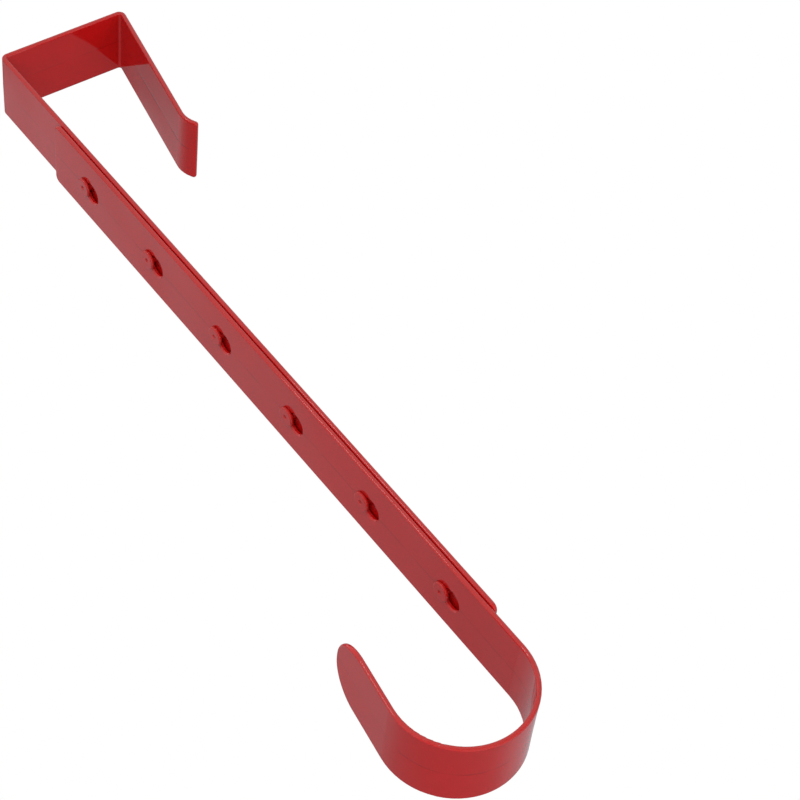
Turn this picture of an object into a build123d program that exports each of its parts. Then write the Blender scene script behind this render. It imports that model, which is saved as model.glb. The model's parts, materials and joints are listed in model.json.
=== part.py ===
from build123d import *
import os
from math import cos, radians, sin

os.makedirs("parts", exist_ok=True)

# An over-door wreath hanger. A folded door strap carries a row of riveted studs,
# and a hook strap hangs on the studs by its keyholes.
# Front is -Y and up is +Z. The origin lies on the door's top edge, midway through the door.

# Strip that both straps are folded from, creased along its middle
strip_width = 25.4
strip_thickness = 1.65
crease_rise = 0.1
edge_radius = 0.7
end_corner_radius = 2.4

# Door strap, angles measured from upright
door_gap = 46.4
corner_bend_radius = 0.8
back_leg_length = 59.2
back_leg_lean = 11.2
lip_length = 5.5
lip_flare = 30.2
lip_bend_radius = 10.0
lip_corner_radius = 1.0

# Studs, counted down from the door's top edge
stud_count = 6
stud_pitch = 40.0
first_stud_drop = 58.1
head_diameter = 6.7
head_thickness = 0.9
head_rim_radius = 0.5
dimple_diameter = 1.7
dimple_depth = 0.75
neck_diameter = 3.3
tenon_diameter = 2.6
tail_diameter = 4.4
tail_thickness = 0.5
tail_chamfer = 0.25

# Hook strap
strap_spacing = 0.3
hook_radius = 22.95
hook_sweep = 188.5
hook_curve_drop = 34.2
hook_tip_length = 29.9
tip_flat_width = 1.0
keyhole_drop = 4.1
keyhole_edge_break = 0.45

# Fits
neck_play = 0.25
head_play = 0.2
keyhole_play = 0.3
tenon_play = 0.05

# Heights that follow from the sizes above
last_stud_drop = first_stud_drop + (stud_count - 1) * stud_pitch
stud_row_z = -(first_stud_drop + last_stud_drop) / 2
end_margin = stud_pitch / 2
door_strap_end_z = -last_stud_drop - end_margin
hook_strap_top_z = -first_stud_drop + end_margin
hook_curve_z = -last_stud_drop - hook_curve_drop

# Widths that follow, across the strip
half_width = strip_width / 2
tip_corner_radius = half_width - tip_flat_width / 2
slot_radius = neck_diameter / 2 + neck_play
keyhole_radius = head_diameter / 2 + keyhole_play

# Depths that follow, from the door towards the front
door_strap_back_y = -door_gap / 2
door_strap_front_y = door_strap_back_y - strip_thickness
hook_strap_back_y = door_strap_front_y - strap_spacing
hook_centre_y = hook_strap_back_y - hook_radius
cut_depth = 2 * strip_thickness

# Stud heights above its seat on the door strap's crease
neck_length = strap_spacing + strip_thickness + head_play
head_top = neck_length + head_thickness
tail_seat = -strip_thickness - crease_rise * tail_diameter / strip_width


def stud_row_plane(y):
    """Upright plane at depth y, facing the front, centred on the row of studs."""
    return Plane(origin=(0, y, stud_row_z), x_dir=(1, 0, 0), z_dir=(0, -1, 0))


def strip_section(path, side):
    """Section of the strip at the path's start: a shallow V, thick towards the given side."""
    with BuildSketch(Plane(origin=path @ 0, x_dir=(1, 0, 0), z_dir=path % 0)) as section:
        with BuildLine():
            Polyline(
                (-half_width, 0),
                (0, side * crease_rise),
                (half_width, 0),
                (half_width, side * strip_thickness),
                (0, side * (strip_thickness + crease_rise)),
                (-half_width, side * strip_thickness),
                close=True,
            )
        make_face()
    return section.sketch


def end_face(part, path, end):
    """The flat face that closes the strip at the path's start (0) or finish (1)."""
    middle = part.faces().filter_by(GeomType.PLANE).filter_by(Axis.X, reverse=True)
    square = Axis(path @ end, path % end)
    return middle.filter_by(square).sort_by_distance(path @ end)[0]


def corner_edges(face):
    """The two short edges across the strip's thickness at one end."""
    return face.edges().sort_by(SortBy.LENGTH)[:2]


def rim_edges(part, path):
    """Edges where the narrow faces around the strip's outline meet its broad faces."""
    rim = part.faces().filter_by(Axis.X) + part.faces().filter_by(GeomType.CYLINDER)
    rim = rim + [end_face(part, path, 0), end_face(part, path, 1)]
    edges = [edge for face in rim for edge in face.edges()]
    return ShapeList(e for e in edges if sum(e.is_same(other) for other in edges) == 1)


# Door strap: front leg, top plate, back leg that leans in on the door, flared lip
lean = radians(back_leg_lean)
flare = radians(lip_flare)
lip_bend = (door_gap / 2 - back_leg_length * sin(lean), -back_leg_length * cos(lean))
lip_end = (lip_bend[0] + lip_length * sin(flare), lip_bend[1] - lip_length * cos(flare))

with BuildPart() as door_strap:
    with BuildLine(Plane.YZ) as door_fold:
        Polyline(
            (door_strap_back_y, door_strap_end_z),
            (door_strap_back_y, 0),
            (door_gap / 2, 0),
            lip_bend,
            lip_end,
        )
        fillet(door_fold.vertices().group_by(Axis.Z)[-1], radius=corner_bend_radius)
        fillet(door_fold.vertices().sort_by_distance((0, *lip_bend))[0], radius=lip_bend_radius)
    door_path = door_fold.wire()
    sweep(sections=strip_section(door_path, -1), path=door_path)
    fillet(corner_edges(end_face(door_strap, door_path, 0)), radius=end_corner_radius)
    fillet(corner_edges(end_face(door_strap, door_path, 1)), radius=lip_corner_radius)
    fillet(rim_edges(door_strap, door_path), radius=edge_radius)

    # Rivet holes for the studs' tenons
    with BuildSketch(stud_row_plane(door_strap_back_y)):
        with GridLocations(0, stud_pitch, 1, stud_count):
            Circle(tenon_diameter / 2 + tenon_play)
    extrude(amount=cut_depth, both=True, mode=Mode.SUBTRACT)

# Hook strap: straight keyholed length, round hook, tip that leans back a little
turn = radians(hook_sweep)
curve_end = (hook_centre_y + hook_radius * cos(turn), hook_curve_z - hook_radius * sin(turn))
tip_end = (curve_end[0] - hook_tip_length * sin(turn), curve_end[1] - hook_tip_length * cos(turn))

with BuildPart() as hook_strap:
    with BuildLine(Plane.YZ) as hook_fold:
        Line((hook_strap_back_y, hook_strap_top_z), (hook_strap_back_y, hook_curve_z))
        CenterArc((hook_centre_y, hook_curve_z), hook_radius, 0, -hook_sweep)
        Line(curve_end, tip_end)
    hook_path = hook_fold.wire()
    sweep(sections=strip_section(hook_path, 1), path=hook_path)
    fillet(corner_edges(end_face(hook_strap, hook_path, 0)), radius=end_corner_radius)
    fillet(corner_edges(end_face(hook_strap, hook_path, 1)), radius=tip_corner_radius)
    fillet(rim_edges(hook_strap, hook_path), radius=edge_radius)

    # Keyholes: a round that passes the stud heads, with a slot above it for the necks
    with BuildSketch(stud_row_plane(hook_strap_back_y)):
        with GridLocations(0, stud_pitch, 1, stud_count):
            Circle(slot_radius)
            with Locations((0, -keyhole_drop / 2)):
                Rectangle(2 * slot_radius, keyhole_drop)
            with Locations((0, -keyhole_drop)):
                Circle(keyhole_radius)
    extrude(amount=cut_depth, both=True, mode=Mode.SUBTRACT)
    keyhole_edges = hook_strap.edges(Select.LAST).filter_by(Axis.Y, reverse=True)
    chamfer(keyhole_edges, length=keyhole_edge_break)

# Stud: dimpled head, neck that the hook strap hangs on, tenon and set tail
with BuildPart() as stud:
    with BuildSketch(Plane.XZ) as profile:
        with BuildLine():
            Polyline(
                (0, head_top - dimple_depth),
                (dimple_diameter / 2, head_top),
                (head_diameter / 2, head_top),
                (head_diameter / 2, neck_length),
                (neck_diameter / 2, neck_length),
                (neck_diameter / 2, 0),
                (tenon_diameter / 2, 0),
                (tenon_diameter / 2, tail_seat),
                (tail_diameter / 2, tail_seat),
                (tail_diameter / 2, tail_seat - tail_thickness),
                (0, tail_seat - tail_thickness),
                close=True,
            )
        make_face()
        head_corner = profile.vertices().group_by(Axis.Y)[-1].sort_by(Axis.X)[-1]
        fillet(head_corner, radius=head_rim_radius)
        tail_corner = profile.vertices().group_by(Axis.Y)[0].sort_by(Axis.X)[-1]
        chamfer(tail_corner, length=tail_chamfer)
    revolve(axis=Axis.Z)

with BuildPart(stud_row_plane(door_strap_front_y - crease_rise)) as studs:
    with GridLocations(0, stud_pitch, 1, stud_count):
        add(stud.part)

door_strap.part.label = "door_strap"
export_step(door_strap.part, "parts/door_strap.step")
hook_strap.part.label = "hook_strap"
export_step(hook_strap.part, "parts/hook_strap.step")
studs.part.label = "studs"
export_step(studs.part, "parts/studs.step")
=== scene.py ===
"""Finish, stage and camera for an over-door wreath hanger in red enamelled steel."""

import json
import math

import bpy
import numpy as np
from bpy.props import FloatProperty, FloatVectorProperty, PointerProperty
from bpy.types import Operator, Panel, PropertyGroup
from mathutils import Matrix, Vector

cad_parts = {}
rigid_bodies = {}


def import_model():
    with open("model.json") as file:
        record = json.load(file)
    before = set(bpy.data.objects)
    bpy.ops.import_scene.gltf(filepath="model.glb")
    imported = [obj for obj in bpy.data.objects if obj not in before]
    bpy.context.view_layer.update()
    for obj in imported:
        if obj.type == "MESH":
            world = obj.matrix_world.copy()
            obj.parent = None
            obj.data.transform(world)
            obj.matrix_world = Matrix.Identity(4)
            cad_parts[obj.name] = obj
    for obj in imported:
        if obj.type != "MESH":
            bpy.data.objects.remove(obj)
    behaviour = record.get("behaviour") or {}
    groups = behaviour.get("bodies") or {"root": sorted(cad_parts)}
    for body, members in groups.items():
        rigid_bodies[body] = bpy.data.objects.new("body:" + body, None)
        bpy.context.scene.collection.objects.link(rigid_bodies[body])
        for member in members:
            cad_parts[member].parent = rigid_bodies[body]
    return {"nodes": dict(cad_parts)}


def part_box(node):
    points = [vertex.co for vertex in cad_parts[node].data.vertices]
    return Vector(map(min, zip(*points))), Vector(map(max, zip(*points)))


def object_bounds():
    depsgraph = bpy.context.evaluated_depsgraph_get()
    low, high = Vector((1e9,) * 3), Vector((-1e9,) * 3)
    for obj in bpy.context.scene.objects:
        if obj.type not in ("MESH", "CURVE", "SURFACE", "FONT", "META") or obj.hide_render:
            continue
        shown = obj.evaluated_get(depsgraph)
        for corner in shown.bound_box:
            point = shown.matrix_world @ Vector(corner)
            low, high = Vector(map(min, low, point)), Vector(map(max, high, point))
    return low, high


bl_info = {
    "name": "Wreath Hanger Finish",
    "version": (1, 0, 0),
    "blender": (4, 5, 0),
    "location": "View3D > Sidebar > Hanger",
    "description": "Enamel finish, studio stage and camera for an over-door wreath hanger",
    "category": "Object",
}

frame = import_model()
cad_low, cad_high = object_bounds()
strip_low, strip_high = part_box("hook_strap")
half_strip = (strip_high.x - strip_low.x) / 2

# Noises: features to the metre, and levels of detail.
slow_noise = (26.0, 2.0)
cloud_noise = (120.0, 3.0)
grain_noise = (1100.0, 2.0)
peel_noise = (420.0, 1.5)
wave_noise = (34.0, 0.0)
break_noise = (90.0, 2.0)

# The enamel: refraction, the band of noise that the mottle covers, the grain's share of it, the
# spread of the roughness, and how far full painted shade goes towards the pooled and shade colour.
enamel_ior = 1.5
drift_band = (0.36, 0.66)
grain_share = 0.35
gloss_spread = 0.06
full_shade = 0.9

# Pits: cells to the metre, the share of cells that hold a pit, where its wall starts and ends as
# shares of a cell, its depth, and the roughness that it adds.
pit_scale = 150.0
pit_share = 0.2
pit_wall = (0.02, 0.045)
pit_depth = 0.000015
pit_roughness = 0.12

# A strip: the band beside its edge where the painted shade on the edge fades out, the band of noise
# that breaks up the crease's line and how much is left of it there, and the bands in which its back
# leg starts.
edge_band = (0.0001, 0.0005)
break_band = (0.35, 0.6)
break_rest = 0.15
behind_depth = (-0.01, 0.01)
behind_height = (-0.02, -0.012)

# The studs: how many there are, bands of a head as shares of its radius for the painted shade in
# its dimple and on its rim, and the roughness that a full dimple adds.
stud_count = 6
dimple_band = (0.1, 0.26)
rim_band = (0.86, 0.99)
dimple_roughness = 0.4

# The floor: half its width, the lines of its mesh each way, and its roughness.
floor_reach = 40.0
floor_lines = 9
floor_roughness = 0.9

# The panel: half its width and its top, the lines of its mesh each way, its place, its height above
# the floor, its colour, and the bands of height or depth in which its brightness changes.
panel_reach = 3.0
panel_lines = 5
panel_x = -1.0
panel_gap = 0.02
panel_colour = (0.97, 0.98, 1.03, 1.0)
upper_band = (-0.05, 1.25)
front_band = (-0.55, -0.1)
behind_front = 0.4
low_band = (-1.0, -0.7)
rear_band = (0.05, 0.6)
middle_band = (-0.1, 0.3)
crown_band = (0.98, 1.16)
above_crown = 0.5

# Lamps: the name that its power goes by, the side of its square, its place, and whether
# reflections show it.
lamps = (
    ("top", 4.0, (-0.5, 0.0, 8.0), False),
    ("key", 1.0, (1.15, -0.6, -0.35), False),
    ("fill", 1.0, (1.0, -0.56, -0.87), False),
    ("back", 1.0, (0.9, 0.5, -0.95), False),
    ("glint", 0.25, (0.99, -0.62, 0.39), True),
)

white = (1.0, 1.0, 1.0, 1.0)

# The camera: the width of its sensor in millimetres, and how far it sees in metres.
camera_sensor = 36.0
camera_reach = 120.0


class EnamelSettings(PropertyGroup):
    """The red enamel on both straps and on the studs."""

    colour: FloatVectorProperty(
        name="Enamel colour",
        description="Colour of the enamel where it lies evenly",
        subtype="COLOR",
        size=4,
        min=0.0,
        max=1.0,
        default=(0.5, 0.006, 0.006, 1.0),
    )
    # Also the colour of the painted shade in the crease and in the stud dimples.
    pooled_and_shade_colour: FloatVectorProperty(
        name="Pooled and shade colour",
        description="Colour where the enamel has run together and lies thick, and of the painted shade in the crease and dimples",
        subtype="COLOR",
        size=4,
        min=0.0,
        max=1.0,
        default=(0.25, 0.002, 0.002, 1.0),
    )
    # Painted shade: a darker colour on the strip's edges and the studs' rims, where the lamps fall
    # brightest.
    edge_shade_colour: FloatVectorProperty(
        name="Edge shade colour",
        description="Painted shade colour on the strip's edges and the studs' rims",
        subtype="COLOR",
        size=4,
        min=0.0,
        max=1.0,
        default=(0.42, 0.01, 0.008, 1.0),
    )
    roughness: FloatProperty(
        name="Roughness",
        description="Roughness of the clean enamel",
        subtype="FACTOR",
        min=0.0,
        max=1.0,
        default=0.07,
    )
    mottle: FloatProperty(
        name="Mottle",
        description="How far the colour wanders towards the pooled colour",
        subtype="FACTOR",
        min=0.0,
        max=1.0,
        default=0.14,
    )
    peel_height: FloatProperty(
        name="Peel height",
        description="Height of the fine orange peel in the enamel",
        subtype="DISTANCE",
        unit="LENGTH",
        precision=6,
        default=0.000004,
    )
    wave_height: FloatProperty(
        name="Wave height",
        description="Height of the slow waves that the folded sheet keeps",
        subtype="DISTANCE",
        unit="LENGTH",
        precision=6,
        default=0.0009,
    )
    crease_width: FloatProperty(
        name="Crease width",
        description="Distance from the middle at which the fine line along the strip ends",
        subtype="DISTANCE",
        unit="LENGTH",
        precision=5,
        default=0.0006,
    )
    crease_depth: FloatProperty(
        name="Crease depth",
        description="Depth of the fine line along the strip",
        subtype="DISTANCE",
        unit="LENGTH",
        precision=6,
        default=0.00002,
    )
    front_crease: FloatProperty(
        name="Front crease",
        description="How clearly the fine line shows on the door strap's front leg and top",
        subtype="FACTOR",
        min=0.0,
        max=1.0,
        default=0.4,
    )
    back_crease: FloatProperty(
        name="Back crease",
        description="How clearly the fine line shows on the door strap's back leg",
        subtype="FACTOR",
        min=0.0,
        max=1.0,
        default=1.0,
    )
    hook_crease: FloatProperty(
        name="Hook crease",
        description="How clearly the fine line shows on the hook strap",
        subtype="FACTOR",
        min=0.0,
        max=1.0,
        default=0.6,
    )


class StageSettings(PropertyGroup):
    """Floor, light and camera."""

    floor_height: FloatProperty(
        name="Floor height",
        description="Height of the floor, measured from the top of the door",
        subtype="DISTANCE",
        unit="LENGTH",
        default=-1.6,
    )
    floor_colour: FloatVectorProperty(
        name="Floor colour",
        description="Colour of the plain floor",
        subtype="COLOR",
        size=4,
        min=0.0,
        max=1.0,
        default=(0.92, 0.92, 0.92, 1.0),
    )
    floor_glow: FloatProperty(
        name="Floor glow",
        description="How much paler the floor is to the camera and in reflections",
        min=0.0,
        default=0.2,
    )
    ambient: FloatProperty(
        name="Ambient light",
        description="Strength of the even light from all round",
        min=0.0,
        default=0.3,
    )
    top_power: FloatProperty(
        name="Top light",
        description="Power of the very large soft light high above, which also lights the floor",
        subtype="POWER",
        unit="POWER",
        min=0.0,
        default=350.0,
    )
    key_power: FloatProperty(
        name="Key light",
        description="Power of the large soft light in front on the right",
        subtype="POWER",
        unit="POWER",
        min=0.0,
        default=8.6,
    )
    fill_power: FloatProperty(
        name="Fill light",
        description="Power of the large soft light from the camera's side, for the keyholes",
        subtype="POWER",
        unit="POWER",
        min=0.0,
        default=4.0,
    )
    back_power: FloatProperty(
        name="Back light",
        description="Power of the large soft light low behind on the right",
        subtype="POWER",
        unit="POWER",
        min=0.0,
        default=3.3,
    )
    glint_power: FloatProperty(
        name="Glint light",
        description="Power of the small light that glints along the strips' edges",
        subtype="POWER",
        unit="POWER",
        min=0.0,
        default=1.2,
    )
    panel_level: FloatProperty(
        name="Panel",
        description="Brightness of most of the grey panel on the left",
        min=0.0,
        default=0.36,
    )
    panel_top: FloatProperty(
        name="Panel top",
        description="Brightness added towards the top of the panel in front",
        min=0.0,
        default=0.32,
    )
    panel_back: FloatProperty(
        name="Panel back",
        description="Brightness added low down towards the back of the panel",
        min=0.0,
        default=0.16,
    )
    camera_place: FloatVectorProperty(
        name="Camera place",
        description="Where the camera stands",
        subtype="TRANSLATION",
        unit="LENGTH",
        size=3,
        default=(0.540534, -0.315658, -0.54324),
    )
    camera_turn: FloatVectorProperty(
        name="Camera turn",
        description="Which way the camera looks",
        subtype="EULER",
        unit="ROTATION",
        size=3,
        default=tuple(math.radians(a) for a in (127.28912, 36.36949, 83.47408)),
    )
    lens: FloatProperty(
        name="Lens",
        description="Focal length of the camera",
        subtype="DISTANCE_CAMERA",
        unit="CAMERA",
        default=102.85,
    )


class HangerSettings(PropertyGroup):
    """All the sizes and colours of the hanger's finish and stage."""

    enamel: PointerProperty(type=EnamelSettings)
    stage: PointerProperty(type=StageSettings)


def make_node(tree, kind, sockets=None, **settings):
    """Adds a node, sets its properties, and sets or links the named inputs."""
    node = tree.nodes.new(kind)
    for name, value in settings.items():
        setattr(node, name, value)
    for name, value in (sockets or {}).items():
        if isinstance(value, bpy.types.NodeSocket):
            tree.links.new(value, node.inputs[name])
        else:
            node.inputs[name].default_value = value
    return node


def math_node(tree, operation, first, second=0.0, third=0.0):
    """Output of one Math node; each operand is a number or a socket."""
    return make_node(
        tree,
        "ShaderNodeMath",
        {0: first, 1: second, 2: third},
        operation=operation,
    ).outputs[0]


def ramp(tree, value, start, end, low=0.0, high=1.0):
    """Smooth step of a value from low at start to high at end."""
    return make_node(
        tree,
        "ShaderNodeMapRange",
        {"Value": value, "From Min": start, "From Max": end, "To Min": low, "To Max": high},
        interpolation_type="SMOOTHSTEP",
    ).outputs["Result"]


def noise(tree, point, scale, detail):
    """Smooth noise of the given number of features to the metre, from about 0 to 1."""
    return make_node(
        tree,
        "ShaderNodeTexNoise",
        {"Vector": point, "Scale": scale, "Detail": detail},
    ).outputs["Fac"]


def blend_colour(tree, share, first, second):
    """Mix of two colours by a share from 0 to 1.

    A Mix node has sockets for each type of data, and its colours are inputs 6 and 7 and output 2.
    """
    return make_node(
        tree,
        "ShaderNodeMix",
        {0: share, 6: first, 7: second},
        data_type="RGBA",
    ).outputs[2]


def seen_rays(tree):
    """1 for rays from the camera, in reflections and through glass, and 0 for soft light."""
    path = tree.nodes.new("ShaderNodeLightPath")
    seen = math_node(tree, "MAXIMUM", path.outputs["Is Camera Ray"], path.outputs["Is Glossy Ray"])
    return math_node(tree, "MAXIMUM", seen, path.outputs["Is Transmission Ray"])


def new_group(name, inputs, outputs):
    """An empty shader node group with its sockets, and its input and output nodes."""
    group = bpy.data.node_groups.new(name, "ShaderNodeTree")
    for socket, kind in inputs:
        group.interface.new_socket(socket, in_out="INPUT", socket_type=kind)
    for socket, kind in outputs:
        group.interface.new_socket(socket, in_out="OUTPUT", socket_type=kind)
    return group, group.nodes.new("NodeGroupInput"), group.nodes.new("NodeGroupOutput")


def enamel_coat_group():
    """The coat itself: wandering colour, painted shade where it is given, uneven gloss, fine peel,
    slow waves and a few pits.

    Height is peel height times fine noise plus wave height times slow noise, less a dent at
    each pit.
    """
    name = "enamel coat"
    if name in bpy.data.node_groups:
        return bpy.data.node_groups[name]
    group, given, result = new_group(
        name,
        [
            ("Point", "NodeSocketVector"),
            ("Colour", "NodeSocketColor"),
            ("Pooled Colour", "NodeSocketColor"),
            ("Pooling", "NodeSocketFloat"),
            ("Mottle", "NodeSocketFloat"),
            ("Gloss Base", "NodeSocketFloat"),
            ("Peel Height", "NodeSocketFloat"),
            ("Wave Height", "NodeSocketFloat"),
        ],
        [
            ("Colour", "NodeSocketColor"),
            ("Roughness", "NodeSocketFloat"),
            ("Height", "NodeSocketFloat"),
        ],
    )
    point = given.outputs["Point"]
    slow = noise(group, point, *slow_noise)
    cloud = noise(group, point, *cloud_noise)
    grain = noise(group, point, *grain_noise)
    peel = noise(group, point, *peel_noise)
    wave = noise(group, point, *wave_noise)

    half_slow = math_node(group, "MULTIPLY", slow, 0.5)
    half_cloud = math_node(group, "MULTIPLY", cloud, 0.5)
    drift = ramp(group, math_node(group, "ADD", half_slow, half_cloud), *drift_band)
    drift = math_node(group, "MULTIPLY", drift, 1.0 - grain_share)
    drift = math_node(group, "MULTIPLY_ADD", grain, grain_share, drift)
    share = math_node(group, "MULTIPLY", drift, given.outputs["Mottle"])
    # Painted shade from the crease or a dimple darkens the colour as a random pool does.
    share = math_node(group, "MAXIMUM", share, given.outputs["Pooling"])
    colour = blend_colour(group, share, given.outputs["Colour"], given.outputs["Pooled Colour"])

    cells = make_node(
        group,
        "ShaderNodeTexVoronoi",
        {"Vector": point, "Scale": pit_scale, "Randomness": 1.0},
        feature="F1",
    )
    drawn = make_node(group, "ShaderNodeSeparateColor", {"Color": cells.outputs["Color"]})
    chosen = math_node(group, "GREATER_THAN", drawn.outputs["Red"], 1.0 - pit_share)
    dent = ramp(group, cells.outputs["Distance"], *pit_wall, 1.0, 0.0)
    pit = math_node(group, "MULTIPLY", dent, chosen)

    uneven = math_node(group, "MULTIPLY_ADD", cloud, gloss_spread, -gloss_spread / 2)
    rough = math_node(group, "ADD", given.outputs["Gloss Base"], uneven)
    rough = math_node(group, "MULTIPLY_ADD", pit, pit_roughness, rough)

    height = math_node(group, "MULTIPLY", peel, given.outputs["Peel Height"])
    height = math_node(group, "MULTIPLY_ADD", wave, given.outputs["Wave Height"], height)
    height = math_node(group, "MULTIPLY_ADD", pit, -pit_depth, height)

    group.links.new(colour, result.inputs["Colour"])
    group.links.new(rough, result.inputs["Roughness"])
    group.links.new(height, result.inputs["Height"])
    return group


def strip_marks_group():
    """Marks that run along a strip: the fine groove and painted shade of its crease, and the
    painted shade on its edges.

    Across is the distance from the middle. The crease's depth falls off as a smooth step of that
    distance.
    """
    name = "strip marks"
    if name in bpy.data.node_groups:
        return bpy.data.node_groups[name]
    group, given, result = new_group(
        name,
        [
            ("Point", "NodeSocketVector"),
            ("Half Width", "NodeSocketFloat"),
            ("Crease Width", "NodeSocketFloat"),
            ("Crease Depth", "NodeSocketFloat"),
            ("Crease Share", "NodeSocketFloat"),
        ],
        [
            ("Crease", "NodeSocketFloat"),
            ("Edge", "NodeSocketFloat"),
            ("Height", "NodeSocketFloat"),
        ],
    )
    point = given.outputs["Point"]
    split = make_node(group, "ShaderNodeSeparateXYZ", {"Vector": point})
    across = math_node(group, "ABSOLUTE", split.outputs["X"])
    near = math_node(group, "DIVIDE", across, given.outputs["Crease Width"])
    # Painted shade: this mask also darkens the colour along the crease.
    crease = ramp(group, near, 0.0, 1.0, 1.0, 0.0)
    broken = ramp(group, noise(group, point, *break_noise), *break_band, break_rest, 1.0)
    shown = math_node(group, "MULTIPLY", broken, given.outputs["Crease Share"])
    crease = math_node(group, "MULTIPLY", crease, shown)
    # Painted shade: the mask of the darker colour along the strip's edges.
    inset = math_node(group, "SUBTRACT", given.outputs["Half Width"], across)
    edge = ramp(group, inset, *edge_band, 1.0, 0.0)
    below = math_node(group, "MULTIPLY", given.outputs["Crease Depth"], -1.0)
    depth = math_node(group, "MULTIPLY", crease, below)
    group.links.new(crease, result.inputs["Crease"])
    group.links.new(edge, result.inputs["Edge"])
    group.links.new(depth, result.inputs["Height"])
    return group


def new_material(name):
    """A node material with its Principled shader and Object coordinates."""
    material = bpy.data.materials.new(name)
    material.use_nodes = True
    tree = material.node_tree
    shader = tree.nodes["Principled BSDF"]
    shader.inputs["IOR"].default_value = enamel_ior
    point = tree.nodes.new("ShaderNodeTexCoord").outputs["Object"]
    return material, tree, shader, point


def coat(tree, shader, point, settings, colour, painted_shade, gloss, extra_height=None):
    """Puts the enamel coat into a material and links it to the shader."""
    group = make_node(
        tree,
        "ShaderNodeGroup",
        {
            "Point": point,
            "Colour": colour,
            "Pooled Colour": tuple(settings.pooled_and_shade_colour),
            "Pooling": painted_shade,
            "Mottle": settings.mottle,
            "Gloss Base": gloss,
            "Peel Height": settings.peel_height,
            "Wave Height": settings.wave_height,
        },
        node_tree=enamel_coat_group(),
    )
    height = group.outputs["Height"]
    if extra_height is not None:
        height = math_node(tree, "ADD", height, extra_height)
    bump = make_node(tree, "ShaderNodeBump", {"Height": height, "Distance": 1.0, "Strength": 1.0})
    tree.links.new(group.outputs["Colour"], shader.inputs["Base Color"])
    tree.links.new(group.outputs["Roughness"], shader.inputs["Roughness"])
    tree.links.new(bump.outputs["Normal"], shader.inputs["Normal"])


def strap_enamel(name, settings, front_share, back_share):
    """Enamel on a folded strip: the coat, with painted shade on the edges and in the crease.

    The crease's line has one share on most of the strip and another on a leg behind the door.
    """
    material, tree, shader, point = new_material(name)
    split = make_node(tree, "ShaderNodeSeparateXYZ", {"Vector": point})
    behind = math_node(
        tree,
        "MULTIPLY",
        ramp(tree, split.outputs["Y"], *behind_depth),
        ramp(tree, split.outputs["Z"], *behind_height, 1.0, 0.0),
    )
    share = math_node(tree, "MULTIPLY_ADD", behind, back_share - front_share, front_share)
    marks = make_node(
        tree,
        "ShaderNodeGroup",
        {
            "Point": point,
            "Half Width": half_strip,
            "Crease Width": settings.crease_width,
            "Crease Depth": settings.crease_depth,
            "Crease Share": share,
        },
        node_tree=strip_marks_group(),
    )
    edge = marks.outputs["Edge"]
    # Painted shade on the strip's edges.
    colour = blend_colour(tree, edge, tuple(settings.colour), tuple(settings.edge_shade_colour))
    # Painted shade: the crease darkens the colour.
    painted_shade = math_node(tree, "MULTIPLY", marks.outputs["Crease"], full_shade)
    gloss, depth = settings.roughness, marks.outputs["Height"]
    coat(tree, shader, point, settings, colour, painted_shade, gloss, depth)
    return material


def stud_enamel(name, settings):
    """Enamel on the studs: the coat, with painted shade in the dimple and on the rim of each head.

    A stud's own radius is found from Object coordinates by folding the height into one pitch.
    """
    material, tree, shader, point = new_material(name)
    low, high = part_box("studs")
    head_radius = high.x
    first = low.z + head_radius
    pitch = (high.z - low.z - 2 * head_radius) / (stud_count - 1)
    split = make_node(tree, "ShaderNodeSeparateXYZ", {"Vector": point})
    shifted = math_node(tree, "SUBTRACT", split.outputs["Z"], first - pitch / 2)
    wrapped = math_node(tree, "FLOORED_MODULO", shifted, pitch)
    folded = math_node(tree, "SUBTRACT", wrapped, pitch / 2)
    square = math_node(tree, "MULTIPLY", split.outputs["X"], split.outputs["X"])
    radius = math_node(tree, "SQRT", math_node(tree, "MULTIPLY_ADD", folded, folded, square))
    dimple_start, dimple_end = (share * head_radius for share in dimple_band)
    rim_start, rim_end = (share * head_radius for share in rim_band)
    # Painted shade: darker colour in each head's dimple, which also makes it rougher.
    dimple = ramp(tree, radius, dimple_start, dimple_end, full_shade, 0.0)
    # Painted shade: darker colour on each head's rim.
    rim = ramp(tree, radius, rim_start, rim_end)
    colour = blend_colour(tree, rim, tuple(settings.colour), tuple(settings.edge_shade_colour))
    gloss = math_node(tree, "MULTIPLY_ADD", dimple, dimple_roughness, settings.roughness)
    coat(tree, shader, point, settings, colour, dimple, gloss)
    return material


def dress(node, material):
    """Gives a CAD node its finish."""
    piece = frame["nodes"][node]
    piece.data.materials.clear()
    piece.data.materials.append(material)


def grid_mesh(name, points):
    """A mesh from a rows by columns grid of points, with a quad between each four neighbours."""
    rows, columns, _ = points.shape
    index = np.arange(rows * columns).reshape(rows, columns)
    quads = np.stack([index[:-1, :-1], index[:-1, 1:], index[1:, 1:], index[1:, :-1]], axis=-1)
    mesh = bpy.data.meshes.new(name)
    mesh.from_pydata(points.reshape(-1, 3).tolist(), [], quads.reshape(-1, 4).tolist())
    mesh.update()
    piece = bpy.data.objects.new(name, mesh)
    bpy.context.scene.collection.objects.link(piece)
    return piece


class HANGER_OT_finish_door_strap(Operator):
    """Give the door strap its enamel"""

    bl_idname = "hanger.finish_door_strap"
    bl_label = "Finish Door Strap"

    def execute(self, context):
        settings = context.scene.wreath_hanger.enamel
        shares = settings.front_crease, settings.back_crease
        dress("door_strap", strap_enamel("door_strap_enamel", settings, *shares))
        return {"FINISHED"}


class HANGER_OT_finish_hook_strap(Operator):
    """Give the hook strap its enamel"""

    bl_idname = "hanger.finish_hook_strap"
    bl_label = "Finish Hook Strap"

    def execute(self, context):
        settings = context.scene.wreath_hanger.enamel
        shares = settings.hook_crease, settings.hook_crease
        dress("hook_strap", strap_enamel("hook_strap_enamel", settings, *shares))
        return {"FINISHED"}


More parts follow.
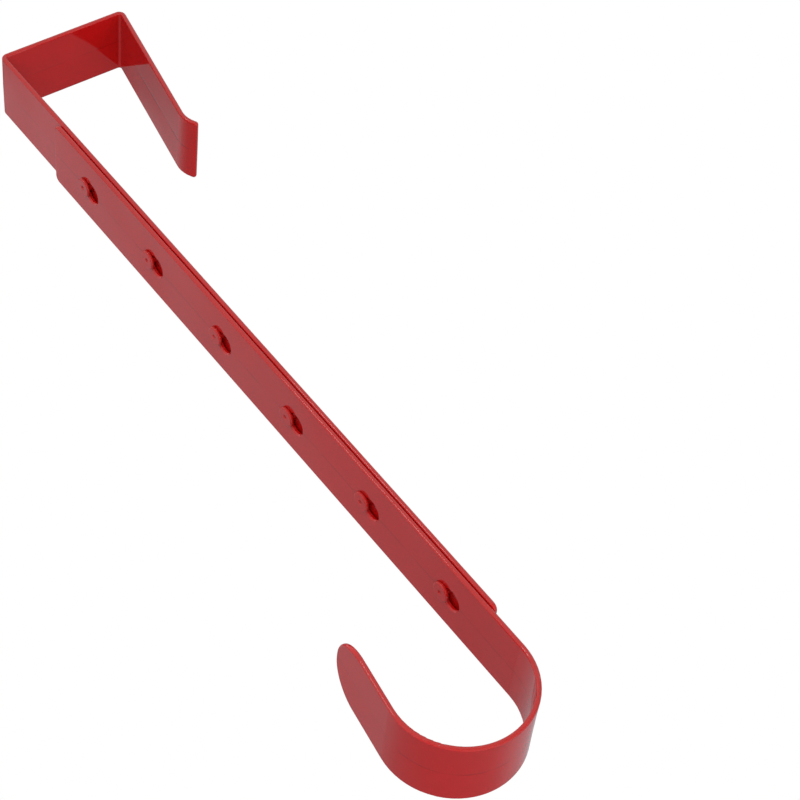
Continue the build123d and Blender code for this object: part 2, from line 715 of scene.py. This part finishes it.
class HANGER_OT_finish_studs(Operator):
    """Give the studs their enamel"""

    bl_idname = "hanger.finish_studs"
    bl_label = "Finish Studs"

    def execute(self, context):
        settings = context.scene.wreath_hanger.enamel
        dress("studs", stud_enamel("stud_enamel", settings))
        return {"FINISHED"}


class HANGER_OT_set_stage(Operator):
    """Build the floor, the grey panel, the lights, the world and the camera"""

    bl_idname = "hanger.set_stage"
    bl_label = "Set Stage"

    def execute(self, context):
        settings = context.scene.wreath_hanger.stage
        self.make_floor(settings)
        self.make_panel(settings)
        self.make_lights(settings)
        self.make_world(settings)
        self.make_camera(settings)
        context.scene.view_settings.view_transform = "Standard"
        return {"FINISHED"}

    def make_floor(self, settings):
        """A flat square of floor, as a function of x and y at one height."""
        reach = np.linspace(-floor_reach, floor_reach, floor_lines)
        x, y = np.meshgrid(reach, reach)
        z = np.full_like(x, settings.floor_height)
        floor = grid_mesh("floor", np.stack([x, y, z], axis=-1))
        material = bpy.data.materials.new("pale_floor")
        material.use_nodes = True
        tree = material.node_tree
        shader = tree.nodes["Principled BSDF"]
        shader.inputs["Base Color"].default_value = settings.floor_colour
        shader.inputs["Roughness"].default_value = floor_roughness
        shader.inputs["Emission Color"].default_value = settings.floor_colour
        glow = math_node(tree, "MULTIPLY", seen_rays(tree), settings.floor_glow)
        tree.links.new(glow, shader.inputs["Emission Strength"])
        floor.data.materials.append(material)

    def make_panel(self, settings):
        """An upright panel on the left that only reflections and soft light see.

        Its brightness is a level, plus smooth steps towards its top in front and low down at the
        back, and falls off at its very top.
        """
        across = np.linspace(-panel_reach, panel_reach, panel_lines)
        upward = np.linspace(settings.floor_height + panel_gap, panel_reach, panel_lines)
        y, z = np.meshgrid(across, upward)
        panel = grid_mesh("grey_panel", np.stack([np.full_like(y, panel_x), y, z], axis=-1))
        material = bpy.data.materials.new("grey_panel")
        material.use_nodes = True
        tree = material.node_tree
        tree.nodes.remove(tree.nodes["Principled BSDF"])
        point = tree.nodes.new("ShaderNodeTexCoord").outputs["Object"]
        split = make_node(tree, "ShaderNodeSeparateXYZ", {"Vector": point})
        depth, height = split.outputs["Y"], split.outputs["Z"]
        upper = ramp(tree, height, *upper_band)
        front = ramp(tree, depth, *front_band, 1.0, behind_front)
        top = math_node(tree, "MULTIPLY", upper, front)
        low = ramp(tree, height, *low_band)
        rear = ramp(tree, depth, *rear_band)
        below = ramp(tree, height, *middle_band, 1.0, 0.0)
        back = math_node(tree, "MULTIPLY", math_node(tree, "MULTIPLY", low, rear), below)
        falloff = ramp(tree, height, *crown_band, 1.0, above_crown)
        strength = math_node(tree, "MULTIPLY_ADD", top, settings.panel_top, settings.panel_level)
        strength = math_node(tree, "MULTIPLY_ADD", back, settings.panel_back, strength)
        strength = math_node(tree, "MULTIPLY", strength, falloff)
        glow = make_node(tree, "ShaderNodeEmission", {"Color": panel_colour, "Strength": strength})
        tree.links.new(glow.outputs["Emission"], tree.nodes["Material Output"].inputs["Surface"])
        panel.data.materials.append(material)
        panel.visible_camera = False
        panel.visible_shadow = False

    def make_lights(self, settings):
        """A very large soft light above, three large ones on the right, and a small one there.

        Only the small one glints. All of them face the middle of the hanger.
        """
        middle = (cad_low + cad_high) / 2
        for name, side, place, glints in lamps:
            lamp = bpy.data.lights.new(name, "AREA")
            lamp.energy = getattr(settings, name + "_power")
            lamp.shape = "SQUARE"
            lamp.size = side
            light = bpy.data.objects.new(name, lamp)
            light.location = place
            away = light.location - middle
            light.rotation_euler = away.to_track_quat("Z", "Y").to_euler()
            light.visible_camera = False
            light.visible_glossy = glints
            bpy.context.scene.collection.objects.link(light)

    def make_world(self, settings):
        """White to the camera, in reflections and through glass, and a softer light on surfaces."""
        world = bpy.data.worlds.new("studio")
        bpy.context.scene.world = world
        world.use_nodes = True
        tree = world.node_tree
        soft = tree.nodes["Background"]
        soft.inputs["Color"].default_value = white
        soft.inputs["Strength"].default_value = settings.ambient
        plain = make_node(tree, "ShaderNodeBackground", {"Color": white, "Strength": 1.0})
        mix = make_node(
            tree,
            "ShaderNodeMixShader",
            {0: seen_rays(tree), 1: soft.outputs[0], 2: plain.outputs[0]},
        )
        tree.links.new(mix.outputs[0], tree.nodes["World Output"].inputs["Surface"])

    def make_camera(self, settings):
        """The camera that the hanger is seen from."""
        data = bpy.data.cameras.new("camera")
        data.lens = settings.lens
        data.sensor_width = camera_sensor
        data.clip_end = camera_reach
        camera = bpy.data.objects.new("camera", data)
        camera.location = settings.camera_place
        camera.rotation_euler = settings.camera_turn
        bpy.context.scene.collection.objects.link(camera)
        bpy.context.scene.camera = camera


class HANGER_PT_sidebar(Panel):
    """Lists the hanger's pieces and settings"""

    bl_label = "Wreath Hanger"
    bl_idname = "HANGER_PT_sidebar"
    bl_space_type = "VIEW_3D"
    bl_region_type = "UI"
    bl_category = "Hanger"

    def draw(self, context):
        settings = context.scene.wreath_hanger
        for operator in piece_operators:
            self.layout.operator(operator.bl_idname)
        for group in (settings.enamel, settings.stage):
            box = self.layout.box()
            for name in group.__annotations__:
                box.prop(group, name)


piece_operators = (
    HANGER_OT_finish_door_strap,
    HANGER_OT_finish_hook_strap,
    HANGER_OT_finish_studs,
    HANGER_OT_set_stage,
)
classes = (EnamelSettings, StageSettings, HangerSettings, *piece_operators, HANGER_PT_sidebar)


def register():
    for cls in classes:
        bpy.utils.register_class(cls)
    bpy.types.Scene.wreath_hanger = PointerProperty(type=HangerSettings)


def unregister():
    del bpy.types.Scene.wreath_hanger
    for cls in reversed(classes):
        bpy.utils.unregister_class(cls)


def main():
    register()
    for start in list(bpy.data.objects):
        if start.type in {"CAMERA", "LIGHT"} or start.name == "Cube":
            bpy.data.objects.remove(start)
    bpy.ops.hanger.finish_door_strap()
    bpy.ops.hanger.finish_hook_strap()
    bpy.ops.hanger.finish_studs()
    bpy.ops.hanger.set_stage()


if __name__ == "__main__":
    main()
